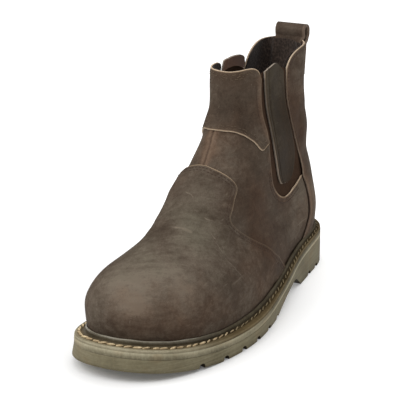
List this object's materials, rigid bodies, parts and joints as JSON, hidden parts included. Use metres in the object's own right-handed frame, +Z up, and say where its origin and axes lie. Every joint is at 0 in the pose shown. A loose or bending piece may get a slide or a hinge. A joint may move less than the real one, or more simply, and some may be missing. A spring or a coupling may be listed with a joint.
{
  "type": "safety boot",
  "caption": "Left slip-on work boot: leather upper with a round safety toe, elastic side gores under leather strips, a back pull loop and a welted lug sole.",
  "frame": {"origin": "on the floor, at the middle of the boot's length and width", "axes": "+X toward the toe, +Y toward the wearer's left (the outer side of this left boot), +Z up"},
  "size_m": [0.31, 0.1202, 0.2073],
  "materials": {
    "outsole_rubber": "matte olive",
    "midsole_rubber": "matte pale olive",
    "welt_leather": "satin, stitched",
    "insole_felt": "matte",
    "upper_leather": "oiled pull-up",
    "gore_elastic": "ribbed elastic",
    "strip_leather": "oiled pull-up",
    "loop_leather": "oiled pull-up"
  },
  "bodies": {
    "root": {"outsole": "outsole_rubber", "midsole": "midsole_rubber", "welt": "welt_leather", "insole": "insole_felt", "upper": "upper_leather", "gore_lateral": "gore_elastic", "gore_medial": "gore_elastic", "gore_strip_lateral": "strip_leather", "gore_strip_medial": "strip_leather", "pull_loop": "loop_leather"}
  },
  "joints": []
}
